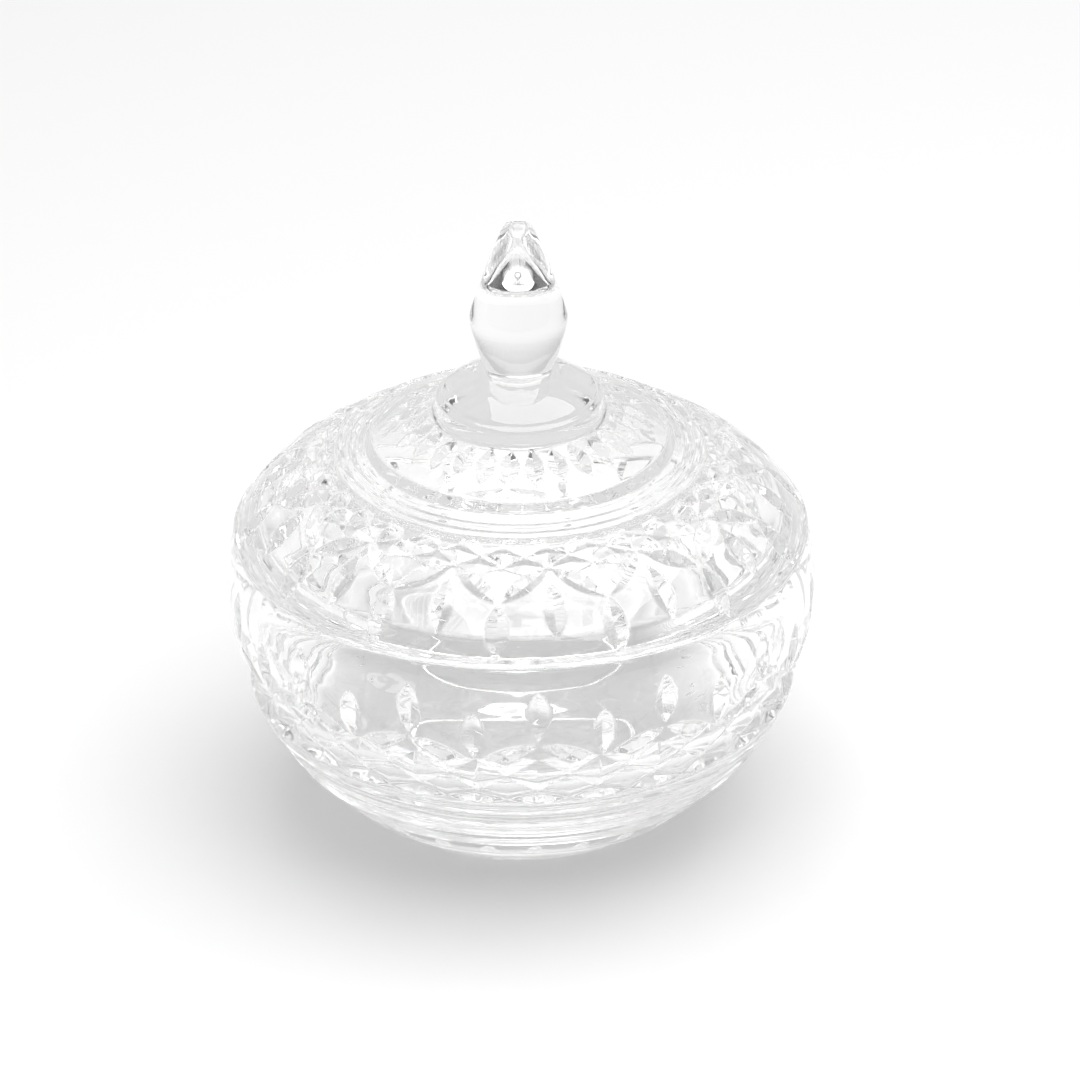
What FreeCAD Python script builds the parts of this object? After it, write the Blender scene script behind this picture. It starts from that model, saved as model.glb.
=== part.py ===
import FreeCAD, Part

import math
import os

# Covered powder jar in cut crystal: a bowl, a domed lid that lifts straight off it, and the drop
# finial bonded on the lid's collar. Millimetres, +Z up, origin at the centre of the bowl's foot.
# Outlines are (radius, height) half sections, turned about Z. Azimuth 0 is the front, -Y.

Vector = FreeCAD.Vector
ORIGIN = Vector(0, 0, 0)
AXIS = Vector(0, 0, 1)
FRONT = -90.0

# Driving sizes
JAR_RADIUS = 70.0
RIM_RADIUS = 68.5
SEAM_Z = 71.0
WALL = 5.5
EDGE = 0.8
FOOT_RADIUS = 34.0
FOOT_RING = 4.0
FOOT_RECESS = 1.4
FLOOR_Z = 10.0
FLANGE_DEPTH = 5.0
FLANGE_WALL = 5.0
FLANGE_GAP = 0.6
CROWN_RADIUS = 43.6
CROWN_Z = 93.4
PLATEAU_RADIUS = 35.4
PLATEAU_Z = 97.6
COLLAR_RADIUS = 20.4
COLLAR_Z = 104.1
COLLAR_HEIGHT = 3.8
NECK_RADIUS = 7.8
NECK_Z = 114.1
FINIAL_RADIUS = 11.6
FINIAL_BELLY_Z = 128.2
TIP_RADIUS = 3.9
TIP_Z = 153.7

# The cuts repeat in sectors round the jar. Each body's pattern starts at its own azimuth.
SECTORS = 14
SECTOR = 360.0 / SECTORS
BOWL_PHASE = 3.2
LID_PHASE = -5.3
LEAF_WIDTH = 5.8
LEAF_DEPTH = 1.2
LEG_WIDTH = 3.9
LEG_DEPTH = 0.9

# The mouth takes the lid's flange.
MOUTH_RADIUS = RIM_RADIUS - WALL
FLANGE_RADIUS = MOUTH_RADIUS - FLANGE_GAP


class Outline:
    """A closed half section, drawn edge by edge and turned about Z."""

    def __init__(self, radius, z):
        self.start = Vector(radius, 0, z)
        self.here = self.start
        self.edges = []

    def line(self, *points):
        for radius, z in points:
            there = Vector(radius, 0, z)
            self.edges.append(Part.LineSegment(self.here, there).toShape())
            self.here = there
        return self

    def curve(self, *points):
        stops = [self.here] + [Vector(radius, 0, z) for radius, z in points]
        spline = Part.BSplineCurve()
        spline.interpolate(stops)
        self.edges.append(spline.toShape())
        self.here = stops[-1]
        return self

    def arc(self, through, end):
        middle = Vector(through[0], 0, through[1])
        there = Vector(end[0], 0, end[1])
        self.edges.append(Part.Arc(self.here, middle, there).toShape())
        self.here = there
        return self

    def solid(self):
        if self.here != self.start:
            self.line((self.start.x, self.start.z))
        return Part.Face(Part.Wire(self.edges)).revolve(ORIGIN, AXIS, 360)


def beads(*rings):
    """Round moulded rings that stand out of a wall, each given as (radius, z, thickness)."""
    return [Part.makeTorus(radius, thickness, Vector(0, 0, z), AXIS) for radius, z, thickness in rings]


def wheel(length, width, depth):
    """A V-edged grinding wheel with its axle along Y. Plunged by depth, it cuts a leaf of this size."""
    radius = length**2 / (8 * depth) + depth / 2
    slope = width / 2 / depth
    half = 2 * width
    shoulder = radius - half / slope
    hub = shoulder / 2
    outline = Outline(hub, -half).line((shoulder, -half), (radius, 0), (shoulder, half), (hub, half))
    disc = outline.solid()
    disc.rotate(ORIGIN, Vector(1, 0, 0), 90)
    return disc, radius - depth


def leaf(lower, upper, width, depth, azimuth, swing=0.0):
    """The wheel placed to cut one leaf between two (radius, z) ends. A slanting leaf swings by
    this angle round the jar from its lower end to its upper one."""
    ends = []
    for (radius, z), turn in ((lower, -swing / 2), (upper, swing / 2)):
        angle = math.radians(turn)
        ends.append(Vector(radius * math.cos(angle), radius * math.sin(angle), z))
    along = ends[1] - ends[0]
    outward = Vector(0, 1, 0).cross(along)
    disc, reach = wheel(along.Length, width, depth)
    turn = FreeCAD.Rotation(outward, along.cross(outward), along, "ZXY")
    centre = (ends[0] + ends[1]) * 0.5 + outward.normalize() * reach
    disc.Placement = FreeCAD.Placement(centre, turn).multiply(disc.Placement)
    disc.rotate(ORIGIN, AXIS, FRONT + azimuth)
    return disc


def leaves(phase, lower, upper, swing=0.0, width=LEAF_WIDTH, depth=LEAF_DEPTH):
    """One leaf in every sector, starting at the given azimuth."""
    return [leaf(lower, upper, width, depth, phase + k * SECTOR, swing) for k in range(SECTORS)]


def crossed_legs(phase, lower, upper):
    """Slanting leaves that meet in pairs, so that they stand in a zigzag round the jar. Lower and
    upper are the ends' places; the upper ends are at the phase's azimuth."""
    rising = leaves(phase - SECTOR / 4, lower, upper, SECTOR / 2, LEG_WIDTH, LEG_DEPTH)
    falling = leaves(phase + SECTOR / 4, lower, upper, -SECTOR / 2, LEG_WIDTH, LEG_DEPTH)
    return rising + falling


def bowl_blank():
    """Foot ring, bellied wall with a rounded rim, and a smooth hollow."""
    outline = Outline(0, FOOT_RECESS)
    outline.line((FOOT_RADIUS - FOOT_RING, FOOT_RECESS), (FOOT_RADIUS - FOOT_RING + EDGE, 0),
                 (FOOT_RADIUS, 0))
    outline.curve((42.7, 5.8), (51.7, 13.9), (59.3, 24.8), (66.0, 38.4), (69.5, 52.0),
                  (JAR_RADIUS, 61.0), (RIM_RADIUS, SEAM_Z - EDGE))
    outline.line((RIM_RADIUS - EDGE, SEAM_Z), (MOUTH_RADIUS + EDGE, SEAM_Z),
                 (MOUTH_RADIUS, SEAM_Z - EDGE), (MOUTH_RADIUS, SEAM_Z - FLANGE_DEPTH))
    outline.curve((63.2, 54.0), (58.6, 36.0), (49.5, 21.0), (36.0, 12.4), (24.0, FLOOR_Z))
    outline.line((0, FLOOR_Z))
    return outline.solid()


def bowl():
    """The blank with its moulded rings, then leaves and crossed legs cut under the rim."""
    rings = beads((63.0, 33.5, 1.6), (60.9, 28.9, 1.6), (58.2, 23.6, 1.2), (57.1, 21.6, 1.1),
                  (54.8, 18.7, 1.1))
    cuts = leaves(BOWL_PHASE, (69.5, 52.4), (69.5, 65.6))
    cuts += leaves(BOWL_PHASE + SECTOR / 2, (68.4, 46.8), (69.9, 60.0))
    cuts += crossed_legs(BOWL_PHASE, (68.0, 44.9), (69.3, 51.4))
    return bowl_blank().fuse(rings).cut(cuts)


def lid_blank():
    """Locating flange, seat, dome and stepped crown; the inside is a smooth dome."""
    inner = FLANGE_RADIUS - FLANGE_WALL
    bottom = SEAM_Z - FLANGE_DEPTH
    outline = Outline(inner, bottom)
    outline.line((FLANGE_RADIUS - EDGE, bottom), (FLANGE_RADIUS, bottom + EDGE),
                 (FLANGE_RADIUS, SEAM_Z), (RIM_RADIUS - 2 * EDGE, SEAM_Z),
                 (RIM_RADIUS - EDGE / 2, SEAM_Z + EDGE))
    outline.curve((65.6, 75.8), (60.2, 81.9), (52.4, 87.4), (CROWN_RADIUS + 1, CROWN_Z - 2.3))
    outline.line((CROWN_RADIUS + 0.3, CROWN_Z - 0.6), (CROWN_RADIUS - 0.6, CROWN_Z),
                 (PLATEAU_RADIUS + 2.2, CROWN_Z + 1.2), (PLATEAU_RADIUS, PLATEAU_Z))
    outline.curve((27.5, 101.0), (COLLAR_RADIUS - 1, COLLAR_Z + 0.3))
    outline.line((0, COLLAR_Z + 0.3), (0, 98.0))
    outline.curve((14.0, 96.9), (34.0, 90.2), (50.0, 80.0), (inner, SEAM_Z + 1))
    return outline.solid()


def collar():
    """The pedestal on the crown, with a domed top and the neck that carries the finial."""
    outline = Outline(0, COLLAR_Z - 2)
    outline.line((COLLAR_RADIUS, COLLAR_Z - 2), (COLLAR_RADIUS, COLLAR_Z),
                 (COLLAR_RADIUS - 0.5, COLLAR_Z + COLLAR_HEIGHT))
    outline.curve((17.6, 109.7), (13.0, 112.3), (NECK_RADIUS, NECK_Z))
    outline.line((0, NECK_Z))
    return outline.solid().fuse(beads((17.4, 109.0, 0.9)))


def lid():
    """The blank with its moulded rings, then the dome's cuts and the crown's ring of leaves. The
    collar goes on last, so that no wheel runs into it."""
    rings = beads((42.6, 92.8, 1.0), (40.2, 93.3, 1.0), (37.9, 93.9, 1.0))
    half = LID_PHASE + SECTOR / 2
    cuts = leaves(LID_PHASE, (67.2, 71.9), (58.6, 82.6))
    cuts += leaves(half, (65.0, 75.4), (53.2, 86.0))
    cuts += crossed_legs(half, (58.6, 82.6), (49.0, 88.0))
    cuts += leaves(half, (31.5, 98.6), (20.9, 103.4), width=4.8, depth=0.9)
    cuts += leaves(LID_PHASE, (30.0, 99.4), (21.4, 103.2), width=5.0, depth=0.9)
    return lid_blank().fuse(rings).cut(cuts).fuse(collar())


def finial():
    """A solid pointed drop, its foot on the collar's neck."""
    tip_lean = math.radians(20)
    shoulder = (TIP_RADIUS * math.cos(tip_lean), TIP_Z - TIP_RADIUS * (1 - math.sin(tip_lean)))
    crown = TIP_RADIUS * math.sin(math.radians(45))
    outline = Outline(0, NECK_Z)
    outline.line((NECK_RADIUS, NECK_Z), (NECK_RADIUS + 0.3, NECK_Z + 0.9), (NECK_RADIUS - 0.3, NECK_Z + 1.6))
    outline.curve((9.4, 118.9), (10.9, 124.4), (FINIAL_RADIUS, FINIAL_BELLY_Z), (10.6, 132.3),
                  (6.9, 143.2), shoulder)
    outline.arc((crown, TIP_Z - TIP_RADIUS + crown), (0, TIP_Z))
    return outline.solid()


def main():
    os.makedirs("parts", exist_ok=True)
    for name, build in (("bowl", bowl), ("lid", lid), ("finial", finial)):
        build().exportStep(f"parts/{name}.step")


main()
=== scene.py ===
import math

import bpy
import numpy as np
from mathutils import Matrix, Vector


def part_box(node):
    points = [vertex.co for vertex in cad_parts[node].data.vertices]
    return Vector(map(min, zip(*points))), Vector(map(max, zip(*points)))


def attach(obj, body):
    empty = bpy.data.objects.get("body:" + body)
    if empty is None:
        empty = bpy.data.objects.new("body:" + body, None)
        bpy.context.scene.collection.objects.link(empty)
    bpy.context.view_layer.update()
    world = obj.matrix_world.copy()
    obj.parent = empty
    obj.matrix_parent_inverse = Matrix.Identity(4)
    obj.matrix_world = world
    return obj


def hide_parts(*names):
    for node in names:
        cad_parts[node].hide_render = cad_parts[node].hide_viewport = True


# A covered powder jar in cut crystal. The bowl and lid are turned sections whose outer wall is cut
# with wheels: leaves, crossed legs and a lattice of pyramids. Sections are (radius, height) in
# millimetres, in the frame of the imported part; MM turns them into metres.

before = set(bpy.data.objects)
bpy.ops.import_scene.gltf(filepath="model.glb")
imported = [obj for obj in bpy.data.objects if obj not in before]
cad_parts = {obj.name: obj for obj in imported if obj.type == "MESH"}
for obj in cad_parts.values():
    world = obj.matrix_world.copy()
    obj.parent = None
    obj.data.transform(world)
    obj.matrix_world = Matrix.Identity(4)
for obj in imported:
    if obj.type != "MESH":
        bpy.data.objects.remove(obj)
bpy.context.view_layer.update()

MM = 0.001
BOWL_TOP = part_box("bowl")[1].z / MM
LID_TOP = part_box("lid")[1].z / MM
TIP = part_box("finial")[1].z / MM
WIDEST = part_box("bowl")[1].x / MM

# The cuts repeat in sectors round the jar; azimuth 0 is the front, -Y.
SECTORS = 14
SECTOR = math.tau / SECTORS
QUARTER = SECTOR / 4
BOWL_PHASE = math.radians(3.2)
LID_PHASE = math.radians(-5.3)

# Mesh density: columns round the jar where the wall is cut, moulded and plain, and how far apart
# the rows are there, in millimetres.
CUT_COLUMNS = 56 * SECTORS
MOULD_COLUMNS = CUT_COLUMNS // 2
PLAIN_COLUMNS = CUT_COLUMNS // 4
CUT_STEP = 0.5
MOULD_STEP = 0.7
PLAIN_STEP = 2.0
FINEST_STEP = 0.18
MAX_TURN = math.radians(9)

# The cuts' inner edges stay crisp where the faces turn more than this; shoulders are polished round
CRISP = math.radians(42)

# Fire polish: how far the mould's corners are rounded, in millimetres
CORNER_SOFT = 0.35

# The film of air where two pieces of glass only touch
AIR_GAP = 0.12

# How far the cemented finial's glass runs into the lid's, so that light crosses as if they were one
CEMENT = 0.05


def catmull(stops, count=24):
    """A smooth curve through the stops."""
    points = np.array(stops, float)
    padded = np.vstack([2 * points[0] - points[1], points, 2 * points[-1] - points[-2]])
    pieces = []
    t = np.linspace(0, 1, count, endpoint=False)[:, None]
    for a, b, c, d in zip(padded, padded[1:], padded[2:], padded[3:]):
        pieces.append(b + 0.5 * t * (c - a + t * (2 * a - 5 * b + 4 * c - d + t * (3 * (b - c) + d - a))))
    return np.vstack([*pieces, points[-1:]])


def even(points, step):
    """The same line with points at even distances along it."""
    lengths = np.hypot(*np.diff(points, axis=0).T)
    keep = np.concatenate([[True], lengths > 1e-6])
    points = points[keep]
    along = np.concatenate([[0], np.cumsum(np.hypot(*np.diff(points, axis=0).T))])
    places = np.linspace(0, along[-1], max(2, round(along[-1] / step) + 1))
    return np.column_stack([np.interp(places, along, points[:, k]) for k in (0, 1)])


def soften(points, step, radius):
    """Rounds every corner of an even line, as a fire polish does. The ends stay on the axis."""
    reach = round(3 * radius / step)
    weights = np.exp(-0.5 * (np.arange(-reach, reach + 1) * step / radius) ** 2)
    weights /= weights.sum()
    before = points[1 : reach + 1][::-1] * (-1, 1)
    after = points[-reach - 1 : -1][::-1] * (-1, 1)
    long = np.vstack([before, points, after])
    return np.column_stack([np.convolve(long[:, k], weights, "valid") for k in (0, 1)])


class Section:
    """A half section from axis to axis, with its outward normals and distances along it."""

    def __init__(self, *stretches, fine=0.1):
        line = soften(even(np.vstack(stretches), fine), fine, CORNER_SOFT)
        line[[0, -1], 0] = 0.0
        self.points = line
        self.along = np.concatenate([[0], np.cumsum(np.hypot(*np.diff(line, axis=0).T))])
        tangent = np.gradient(line, self.along, axis=0)
        tangent /= np.linalg.norm(tangent, axis=1)[:, None]
        self.normals = np.column_stack([tangent[:, 1], -tangent[:, 0]])
        heading = np.unwrap(np.arctan2(tangent[:, 1], tangent[:, 0]))
        self.turning = np.abs(np.gradient(heading, self.along))

    def at(self, places):
        """Points and normals at these distances along the section."""
        pick = lambda table: np.stack([np.interp(places, self.along, table[:, k]) for k in (0, 1)], -1)
        return pick(self.points), pick(self.normals)

    def place(self, radius, z):
        """The distance along the section of the point nearest to (radius, z)."""
        return float(self.along[np.argmin(np.hypot(*(self.points - (radius, z)).T))])

    def rows(self, bands):
        """Distances for the mesh's rows: close where the wall is cut or turns, and wide elsewhere."""
        density = np.maximum(1 / PLAIN_STEP, self.turning / MAX_TURN)
        density = np.minimum(density, 1 / FINEST_STEP)
        for start, stop, _, step in bands:
            inside = (self.along > start) & (self.along < stop)
            density[inside] = np.maximum(density[inside], 1 / step)
        total = np.concatenate([[0], np.cumsum(0.5 * (density[1:] + density[:-1]) * np.diff(self.along))])
        return np.interp(np.linspace(0, total[-1], round(total[-1]) + 1), total, self.along)


def wrap(angle, period):
    return (angle + period / 2) % period - period / 2


class Wall:
    """The outer wall of one body as a field of places (distance along, azimuth) to be cut. A cut is
    its depth, negative outside it, and how far the place is from its centre line."""

    def __init__(self, section, s, a):
        self.section, self.s, self.a = section, s, a
        self.radius = section.at(s)[0][..., 0]

    def lens(self, reach, side, width, depth):
        return depth * (1 - reach**2) - np.abs(side) * 2 * depth / width, side

    def leaf(self, lower, upper, azimuth, width, depth):
        """One leaf in every sector, along the wall between two (radius, z) ends."""
        low, high = self.section.place(*lower), self.section.place(*upper)
        reach = 2 * (self.s - (low + high) / 2) / (high - low)
        side = self.radius * wrap(self.a - azimuth, SECTOR)
        return self.lens(reach, side, width, depth)

    def leg(self, lower, upper, azimuth, swing, width, depth):
        """One slanting leaf in every sector, from lower at this azimuth to upper, swing further on."""
        low, high = self.section.place(*lower), self.section.place(*upper)
        rise = high - low
        across = swing * (lower[0] + upper[0]) / 2
        length = math.hypot(rise, across)
        up = self.s - (low + high) / 2
        right = self.radius * wrap(self.a - azimuth - swing / 2, SECTOR)
        reach = 2 * (up * rise + right * across) / length**2
        side = (right * rise - up * across) / length
        return self.lens(reach, side, width, depth)

    def lattice(self, rows, azimuth, depth, tip, end):
        """Two families of crossing grooves through rows of nodes, each row a quarter sector on from
        the last. The grooves run out in tips past the first row and stop at the last."""
        places = [self.section.place(*row) for row in rows]
        way = math.copysign(1, places[0] - places[-1])
        count = np.interp(way * self.s, [way * place for place in reversed(places)],
                          range(len(rows) - 1, -1, -1))
        before = np.maximum(way * (self.s - places[0]), 0)
        after = np.maximum(way * (places[-1] - self.s), 0)
        drift = before * QUARTER / abs(places[1] - places[0])
        plunge = depth * (1 - before / tip - after / end)
        families = []
        for hand in (-1, 1):
            offset = wrap(self.a - azimuth + hand * (count * QUARTER - drift), 2 * QUARTER)
            families.append((plunge - depth * np.abs(offset) / QUARTER, offset * self.radius))
        return families


def layers(cuts, wall):
    """All cuts as a stack of depths and distances from centre lines, with the uncut wall last."""
    flat = np.zeros_like(wall.radius)
    found = cuts(wall) + [(flat, flat)]
    return np.stack([depth for depth, side in found]), np.stack([side for depth, side in found])


def onto_edges(section, cuts, s, a, row_step, column_step):
    """Moves places on a grid sideways onto the nearest edge between two cuts, or onto the centre line
    of a cut, where one passes within half a cell. Edges then run along the mesh."""
    nudge, half_cell, far, tiny = 0.02, 0.5, 9.0, 1e-9
    wall = Wall(section, s, a)
    depths, sides = layers(cuts, wall)
    order = np.argsort(depths, axis=0)
    best, second = order[-1][None], order[-2][None]
    take = lambda stack, index: np.take_along_axis(stack, index, 0)[0]
    gaps = lambda found: (take(found[0], best) - take(found[0], second), take(found[1], best))
    here = gaps((depths, sides))
    up = gaps(layers(cuts, Wall(section, s + nudge, a)))
    right = gaps(layers(cuts, Wall(section, s, a + nudge / wall.radius)))
    plain = best[0] == len(depths) - 1
    moves = []
    for k in (0, 1):
        rise = (up[k] - here[k]) / nudge * row_step
        run = (right[k] - here[k]) / nudge * column_step
        steep = np.maximum(rise**2 + run**2, 1e-12)
        away = np.abs(here[k]) / np.maximum(np.maximum(np.abs(rise), np.abs(run)), tiny)
        moves.append((rise, run, -here[k] * rise / steep, -here[k] * run / steep, away))
    (rise_0, run_0, s_0, a_0, away_0), (rise_1, run_1, s_1, a_1, away_1) = moves
    away_1 = np.where(plain, far, away_1)
    kept = np.minimum(away_0, away_1) < half_cell
    move_s = np.where(kept, np.where(away_0 < away_1, s_0, s_1), 0)
    move_a = np.where(kept, np.where(away_0 < away_1, a_0, a_1), 0)
    cross = rise_0 * run_1 - rise_1 * run_0
    cross = np.where(np.abs(cross) < tiny, tiny, cross)
    corner_s = (-here[0] * run_1 + here[1] * run_0) / cross
    corner_a = (-here[1] * rise_0 + here[0] * rise_1) / cross
    corner = np.maximum(np.abs(corner_s), np.abs(corner_a)) < half_cell
    corner &= (away_0 < half_cell) & (away_1 < half_cell)
    move_s = np.where(corner, corner_s, move_s)
    move_a = np.where(corner, corner_a, move_a)
    return s + move_s * row_step, a + move_a * column_step / wall.radius


def bowl_section():
    mouth = 63.0
    under = np.array([(0, 1.4), (29.6, 1.4), (30.6, 0), (34.0, 0)])
    belly = catmull([(34.0, 0), (38.7, 3.1), (46.1, 8.5), (54.0, 16.7), (59.6, 24.8), (63.9, 33.0),
                     (66.7, 41.1), (69.1, 49.3), (69.9, 57.5), (WIDEST - 0.05, 61.5), (69.4, 66.5),
                     (68.5, BOWL_TOP - 1.3)])
    top = BOWL_TOP - AIR_GAP
    rim = np.array([(68.0, top), (mouth + 0.6, top), (mouth, top - 0.9), (mouth, BOWL_TOP - 5)])
    hollow = catmull([(mouth, BOWL_TOP - 5), (63.3, 54.0), (58.8, 36.0), (49.5, 21.0), (36.0, 12.4),
                      (20.0, 10.1), (0, 10.0)])
    return Section(under, belly, rim, hollow)


def lid_section():
    flange = 62.4
    inner = 57.4
    dome_inside = catmull([(0, 98.0), (14.0, 96.9), (34.0, 90.2), (50.0, 80.0), (inner, BOWL_TOP + 1.0)])
    seat = np.array([(inner, BOWL_TOP - 5), (flange - 0.8, BOWL_TOP - 5), (flange, BOWL_TOP - 4.2),
                     (flange, BOWL_TOP), (67.0, BOWL_TOP), (67.9, BOWL_TOP + 0.7)])
    dome = catmull([(68.0, BOWL_TOP + 1.0), (65.6, 75.8), (60.2, 81.9), (52.4, 87.4), (44.6, 91.1)])
    crown = np.array([(44.1, 92.9), (43.2, 93.5), (42.0, 93.4), (41.6, 93.0), (41.2, 93.5), (40.6, 94.0),
                      (39.6, 94.0), (39.1, 93.6), (38.6, 94.2), (37.6, 94.6), (36.8, 94.7), (35.4, 97.6)])
    plateau = catmull([(35.4, 97.6), (27.5, 101.0), (20.6, 103.9)])
    collar = np.array([(20.4, 104.3), (19.9, 107.7), (19.4, 108.3), (18.6, 108.4), (18.2, 109.4),
                       (17.2, 109.9)])
    neck = catmull([(17.0, 110.2), (13.0, 112.4), (9.5, 113.5), (7.8, LID_TOP)])
    return Section(dome_inside, seat, dome, crown, plateau, collar, neck, np.array([(0, LID_TOP)]))


def finial_section():
    foot = LID_TOP - CEMENT
    stem = np.array([(0, foot), (7.5, foot), (8.0, foot + 0.6), (8.0, foot + 1.0)])
    drop = catmull([(8.0, foot + 1.0), (9.4, 118.9), (10.9, 124.4), (11.6, 128.4), (10.6, 132.3),
                    (8.8, 137.7), (6.9, 143.2), (4.9, 148.6), (3.9, 151.2), (2.7, 152.8), (1.3, TIP - 0.15),
                    (0, TIP)])
    return Section(stem, drop)


def bowl_cuts(wall):
    node, low_node = (68.9, 51.4), (67.9, 44.9)
    half = BOWL_PHASE + SECTOR / 2
    cuts = wall.lattice([low_node, (66.3, 39.4), (64.3, 34.4)], BOWL_PHASE, 2.0, 3.0, 0.8)
    cuts.append(wall.leaf((69.3, 52.4), (69.6, 65.6), BOWL_PHASE, 5.9, 2.1))
    cuts.append(wall.leaf((68.4, 46.8), (69.9, 60.0), half, 5.9, 2.1))
    for swing in (-SECTOR / 2, SECTOR / 2):
        cuts.append(wall.leg(low_node, node, half, swing, 4.6, 1.9))
    for azimuth in (BOWL_PHASE, half):
        cuts.append(wall.leaf((48.3, 10.4), (51.4, 13.4), azimuth, 4.0, 0.9))
    return cuts


def bowl_beads(section, s):
    """Rings standing out from the bowl's lower wall: (z, radius, height, half width)."""
    rings = [(33.3, 64.1, 0.9, 1.0), (28.9, 61.9, 1.0, 1.1), (23.6, 58.9, 0.7, 0.7),
             (21.6, 57.6, 0.7, 0.7), (18.8, 55.6, 0.7, 0.8)]
    return sum(height * np.exp(-(((s - section.place(r, z)) / width) ** 2)) for z, r, height, width in rings)


def lid_cuts(wall):
    joint, high_joint = (58.6, 83.3), (49.8, 88.8)
    half = LID_PHASE + SECTOR / 2
    cuts = wall.lattice([high_joint, (46.9, 90.1), (44.3, 91.6)], LID_PHASE, 1.5, 3.4, 0.8)
    cuts.append(wall.leaf((67.4, 72.4), joint, LID_PHASE, 5.8, 1.8))
    cuts.append(wall.leaf((64.9, 76.6), (54.2, 86.3), half, 5.6, 1.8))
    for swing in (-SECTOR / 2, SECTOR / 2):
        cuts.append(wall.leg(joint, high_joint, LID_PHASE, swing, 4.8, 1.6))
    cuts.append(wall.leaf((31.3, 99.4), (20.9, 103.8), half, 4.8, 1.2))
    cuts.append(wall.leaf((30.0, 99.9), (21.6, 103.5), LID_PHASE, 5.0, 1.2))
    return cuts


def lid_lip(section, s):
    """The rounded lip at the foot of the lid."""
    return 0.55 * np.exp(-(((s - section.place(67.9, 71.9)) / 0.75) ** 2))


def stitch(lower, upper, turn=None):
    """Faces between two closed rings of vertex numbers. One ring may have a whole number of times
    as many vertices as the other. turn says which cells are split along their other diagonal."""
    count = len(lower)
    if count == len(upper):
        faces = []
        for k in range(count):
            a, b, c, d = lower[k], lower[(k + 1) % count], upper[(k + 1) % count], upper[k]
            if turn is None:
                faces.append((a, b, c, d))
            elif turn[k]:
                faces += [(a, b, d), (b, c, d)]
            else:
                faces += [(a, b, c), (a, c, d)]
        return faces
    if count < len(upper):
        return [face[::-1] for face in stitch(upper, lower)]
    faces = []
    times = count // len(upper)
    for k in range(len(upper)):
        fine = [lower[(k * times + j) % count] for j in range(times + 1)]
        here, there = upper[k], upper[(k + 1) % len(upper)]
        middle = times // 2
        for j in range(times):
            faces.append((fine[j], fine[j + 1], here if j < middle else there))
        faces.append((fine[middle], there, here))
    return faces


def turned(name, section, cuts=None, raised=None, bands=()):
    """A closed mesh turned about Z from a half section. Each band is a stretch of its wall, from one
    distance to another, with its own number of columns and its own row spacing. Cuts are made in the
    bands only; raised rings can be anywhere."""
    rows = section.rows(bands)[1:-1]
    vertices = [(0, 0, section.points[0, 1])]
    numbers, turns = [], []
    before = None
    for place, step in zip(rows, np.gradient(rows)):
        inside = [count for start, stop, count, _ in bands if start < place < stop]
        columns = inside[-1] if inside else PLAIN_COLUMNS
        a = np.arange(columns) * math.tau / columns
        s = np.full(columns, place)
        depth = np.zeros(columns)
        if cuts and columns != PLAIN_COLUMNS:
            radius = section.at(s)[0][..., 0]
            s, a = onto_edges(section, cuts, s, a, step, radius * math.tau / columns)
            depth = layers(cuts, Wall(section, s, a))[0].max(axis=0)
        if raised:
            depth = depth - raised(section, s)
        points, normals = section.at(s)
        radius = points[..., 0] - depth * normals[..., 0]
        z = points[..., 1] - depth * normals[..., 1]
        start = len(vertices)
        vertices += zip(radius * np.sin(a), -radius * np.cos(a), z)
        numbers.append(list(range(start, start + columns)))
        turn = None
        if before and len(before[0]) == columns and columns != PLAIN_COLUMNS and cuts:
            low_s, low_a, low_depth = before
            next_of = lambda row, whole=0.0: np.append(row[1:], row[0] + whole)
            middle_s = (s + next_of(s) + low_s + next_of(low_s)) / 4
            middle_a = (a + next_of(a, math.tau) + low_a + next_of(low_a, math.tau)) / 4
            middle = layers(cuts, Wall(section, middle_s, middle_a))[0].max(axis=0)
            if raised:
                middle = middle - raised(section, middle_s)
            rising = np.abs(middle - (low_depth + next_of(depth)) / 2)
            falling = np.abs(middle - (next_of(low_depth) + depth) / 2)
            turn = falling < rising
        turns.append(turn)
        before = (s, a, depth)
    last = len(vertices)
    vertices.append((0, 0, section.points[-1, 1]))
    first, top = numbers[0], numbers[-1]
    faces = [(0, first[(k + 1) % len(first)], first[k]) for k in range(len(first))]
    for lower, upper, turn in zip(numbers, numbers[1:], turns[1:]):
        faces += stitch(lower, upper, turn)
    faces += [(top[k], top[(k + 1) % len(top)], last) for k in range(len(top))]
    mesh = bpy.data.meshes.new(name)
    mesh.from_pydata([(x * MM, y * MM, z * MM) for x, y, z in vertices], [], faces)
    mesh.update()
    mesh.shade_smooth()
    mesh.set_sharp_from_angle(angle=CRISP)
    piece = bpy.data.objects.new(name, mesh)
    bpy.context.scene.collection.objects.link(piece)
    return piece


def math_node(nodes, links, operation, first, second=None):
    node = nodes.new("ShaderNodeMath")
    node.operation = operation
    for k, value in enumerate((first, second)):
        if value is None:
            continue
        if isinstance(value, (int, float)):
            node.inputs[k].default_value = value
        else:
            links.new(value, node.inputs[k])
    return node.outputs["Value"]


def ramp_node(nodes, links, value, start, stop, low, high):
    node = nodes.new("ShaderNodeMapRange")
    node.interpolation_type = "SMOOTHSTEP"
    for name, number in (("From Min", start), ("From Max", stop), ("To Min", low), ("To Max", high)):
        node.inputs[name].default_value = number
    links.new(value, node.inputs["Value"])
    return node.outputs["Result"]


GLASS_IOR = 1.53
WAVE_SCALE, WAVE_DEPTH = 55.0, 0.0012
WEAR_SCALE, WORN = 240.0, 0.02


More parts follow.
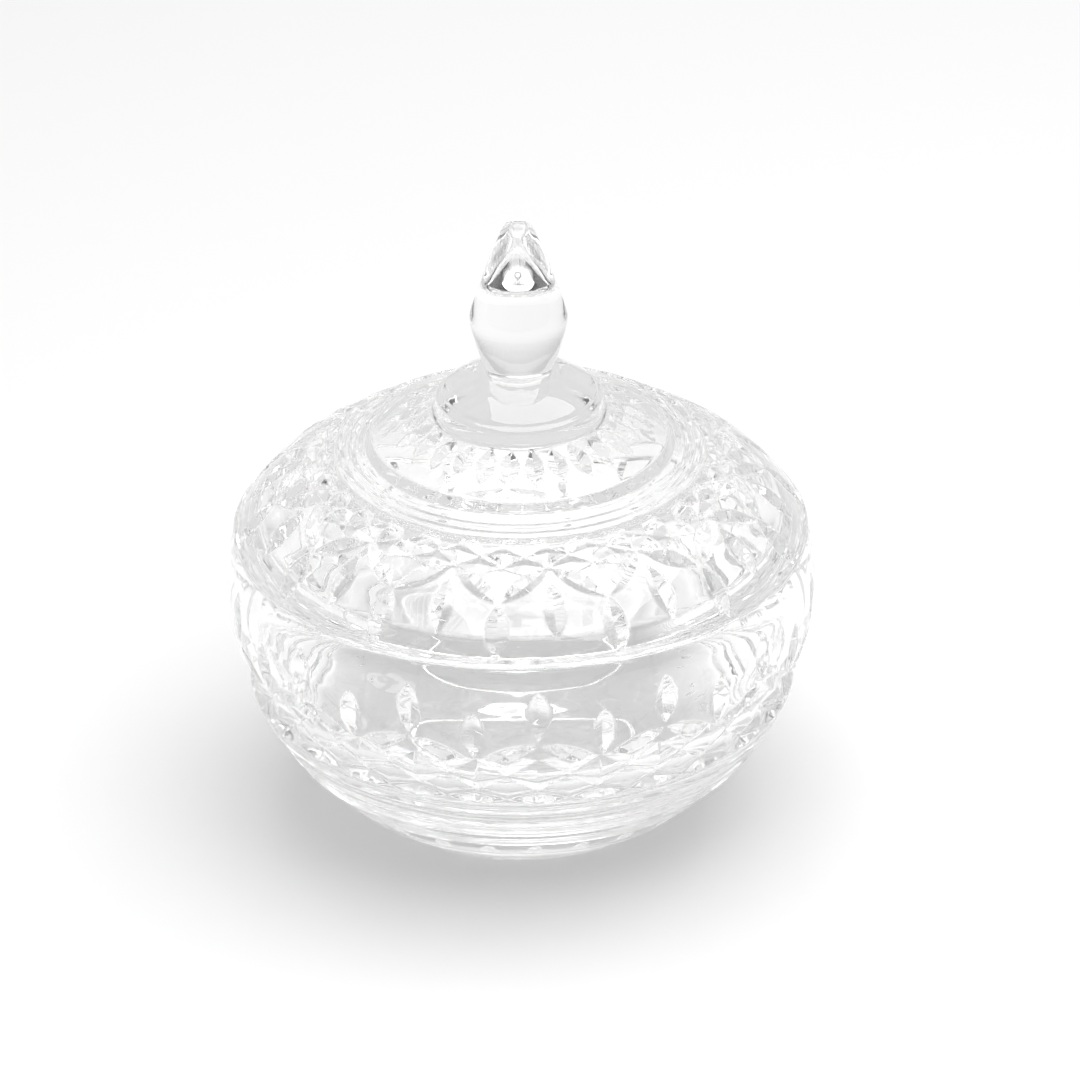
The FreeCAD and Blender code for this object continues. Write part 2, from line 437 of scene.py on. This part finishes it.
def crystal(name, waviness):
    """Colourless polished crystal with the faint waviness that pressing leaves in it."""
    material = bpy.data.materials.new(name)
    material.use_nodes = True
    nodes, links = material.node_tree.nodes, material.node_tree.links
    shader = nodes["Principled BSDF"]
    shader.inputs["Base Color"].default_value = (1, 1, 1, 1)
    shader.inputs["Transmission Weight"].default_value = 1.0
    shader.inputs["IOR"].default_value = GLASS_IOR
    place = nodes.new("ShaderNodeTexCoord").outputs["Object"]
    wave = nodes.new("ShaderNodeTexNoise")
    wave.inputs["Scale"].default_value = WAVE_SCALE
    wave.inputs["Detail"].default_value = 1.5
    wave.inputs["Distortion"].default_value = 0.8
    links.new(place, wave.inputs["Vector"])
    bump = nodes.new("ShaderNodeBump")
    bump.inputs["Strength"].default_value = waviness
    bump.inputs["Distance"].default_value = WAVE_DEPTH
    links.new(wave.outputs["Fac"], bump.inputs["Height"])
    links.new(bump.outputs["Normal"], shader.inputs["Normal"])
    wear = nodes.new("ShaderNodeTexNoise")
    wear.inputs["Scale"].default_value = WEAR_SCALE
    wear.inputs["Detail"].default_value = 3.0
    links.new(place, wear.inputs["Vector"])
    dull = ramp_node(nodes, links, wear.outputs["Fac"], 0.5, 0.8, 0.0, WORN)
    links.new(dull, shader.inputs["Roughness"])
    return material


def add_piece(piece, body, node, material):
    piece.data.materials.append(material)
    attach(piece, body)
    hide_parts(node)
    return piece


def build_jar():
    section = bowl_section()
    foot, ring, stop = section.place(47.0, 9.2), section.place(63.4, 32.0), section.place(69.5, 66.4)
    bands = [(foot, ring, MOULD_COLUMNS, MOULD_STEP), (ring, stop, CUT_COLUMNS, CUT_STEP)]
    bowl = turned("crystal_bowl", section, bowl_cuts, bowl_beads, bands)
    add_piece(bowl, "bowl", "bowl", crystal("bowl_crystal", 0.07))
    section = lid_section()
    start, ring = section.place(67.8, 72.0), section.place(44.2, 92.3)
    plateau, collar = section.place(35.0, 97.8), section.place(20.5, 104.0)
    bands = [(start, ring, CUT_COLUMNS, CUT_STEP), (ring, plateau, MOULD_COLUMNS, PLAIN_STEP),
             (plateau, collar, MOULD_COLUMNS, CUT_STEP)]
    lid = turned("crystal_lid", section, lid_cuts, lid_lip, bands)
    add_piece(lid, "lid", "lid", crystal("lid_crystal", 0.05))
    finial = turned("crystal_finial", finial_section())
    add_piece(finial, "lid", "finial", crystal("finial_crystal", 0.05))


# Brightness of the tent's cloth at the front and back, the room seen through its opening, and the
# lamp; the floor's colour and its even glow; how narrow the opening is, and where its top lies.
TENT_FRONT = 0.12
TENT_BACK = 0.75
ROOM = 0.03
SOFTBOX = 3.0
FLOOR_PALE = 0.6
FLOOR_GLOW = 0.3
OPENING_NARROW = 1.6
OPENING_BLUR = 0.04
OPENING_TOP = (0.60, 0.66)
CLOTH_RANGE = (-0.4, 0.5)


def tent(world):
    """A white tent with an opening at the front, where the room behind the camera is darker."""
    world.use_nodes = True
    nodes, links = world.node_tree.nodes, world.node_tree.links
    background = nodes["Background"]
    place = nodes.new("ShaderNodeTexCoord")
    split = nodes.new("ShaderNodeSeparateXYZ")
    links.new(place.outputs["Generated"], split.inputs["Vector"])
    beside = math_node(nodes, links, "ABSOLUTE", split.outputs["X"])
    sideways = math_node(nodes, links, "MULTIPLY", beside, OPENING_NARROW)
    forward = math_node(nodes, links, "MULTIPLY", split.outputs["Y"], -1.0)
    inside = math_node(nodes, links, "SUBTRACT", forward, sideways)
    opening = ramp_node(nodes, links, inside, -OPENING_BLUR, OPENING_BLUR, 0.0, 1.0)
    under = ramp_node(nodes, links, split.outputs["Z"], *OPENING_TOP, 1.0, 0.0)
    gap = math_node(nodes, links, "MULTIPLY", opening, under)
    closed = math_node(nodes, links, "SUBTRACT", 1.0, gap)
    cloth = ramp_node(nodes, links, split.outputs["Y"], *CLOTH_RANGE, TENT_FRONT, TENT_BACK)
    lit = math_node(nodes, links, "MULTIPLY", closed, cloth)
    strength = math_node(nodes, links, "MAXIMUM", lit, ROOM)
    links.new(strength, background.inputs["Strength"])
    background.inputs["Color"].default_value = (1, 1, 1, 1)


def pale_floor():
    """A plain pale floor of translucent acrylic, the same all over and evenly lit from below."""
    bpy.ops.mesh.primitive_plane_add(size=20, location=(0, 0, -0.0002))
    floor = bpy.context.object
    floor.name = "floor"
    acrylic = bpy.data.materials.new("acrylic")
    acrylic.use_nodes = True
    shader = acrylic.node_tree.nodes["Principled BSDF"]
    shader.inputs["Base Color"].default_value = (FLOOR_PALE, FLOOR_PALE, FLOOR_PALE, 1)
    shader.inputs["Roughness"].default_value = 0.9
    shader.inputs["Emission Color"].default_value = (1, 1, 1, 1)
    shader.inputs["Emission Strength"].default_value = FLOOR_GLOW
    floor.data.materials.append(acrylic)


def studio():
    """The floor, the tent, and one large soft lamp overhead."""
    pale_floor()
    world = bpy.data.worlds.new("tent")
    bpy.context.scene.world = world
    tent(world)
    lamp = bpy.data.lights.new("softbox", "AREA")
    lamp.shape = "RECTANGLE"
    lamp.size, lamp.size_y = 1.2, 1.4
    lamp.energy = SOFTBOX * math.pi * lamp.size * lamp.size_y
    box = bpy.data.objects.new("softbox", lamp)
    box.location = (0.22, -0.22, 1.07)
    box.visible_camera = False
    bpy.context.scene.collection.objects.link(box)


def camera():
    """A long lens above the front, as the jar is usually shown."""
    elevation, tilt = math.radians(28.5), math.radians(-0.55)
    distance, width, lower = 3.2, 0.2568, 0.0024
    target = Vector((0.00456, 0, 0.07106))
    up = Vector((0, math.sin(elevation), math.cos(elevation)))
    target -= up * lower
    back = Vector((0, -math.cos(elevation), math.sin(elevation)))
    data = bpy.data.cameras.new("camera")
    data.sensor_width = 36.0
    data.lens = data.sensor_width * distance / width
    data.clip_end = 50
    view = bpy.data.objects.new("camera", data)
    view.location = target + back * distance
    view.rotation_euler = (math.pi / 2 - elevation, 0, 0)
    roll = Matrix.Rotation(tilt, 4, "Z")
    view.matrix_world = Matrix.Translation(view.location) @ view.rotation_euler.to_matrix().to_4x4() @ roll
    bpy.context.scene.collection.objects.link(view)
    bpy.context.scene.camera = view


# Light that is reflected inside thick glass takes many bounces to come out.
GLASS_BOUNCES = 32

build_jar()
studio()
camera()
bpy.context.scene.view_settings.view_transform = "Standard"
for bounces in ("max_bounces", "transmission_bounces", "glossy_bounces"):
    setattr(bpy.context.scene.cycles, bounces, GLASS_BOUNCES)
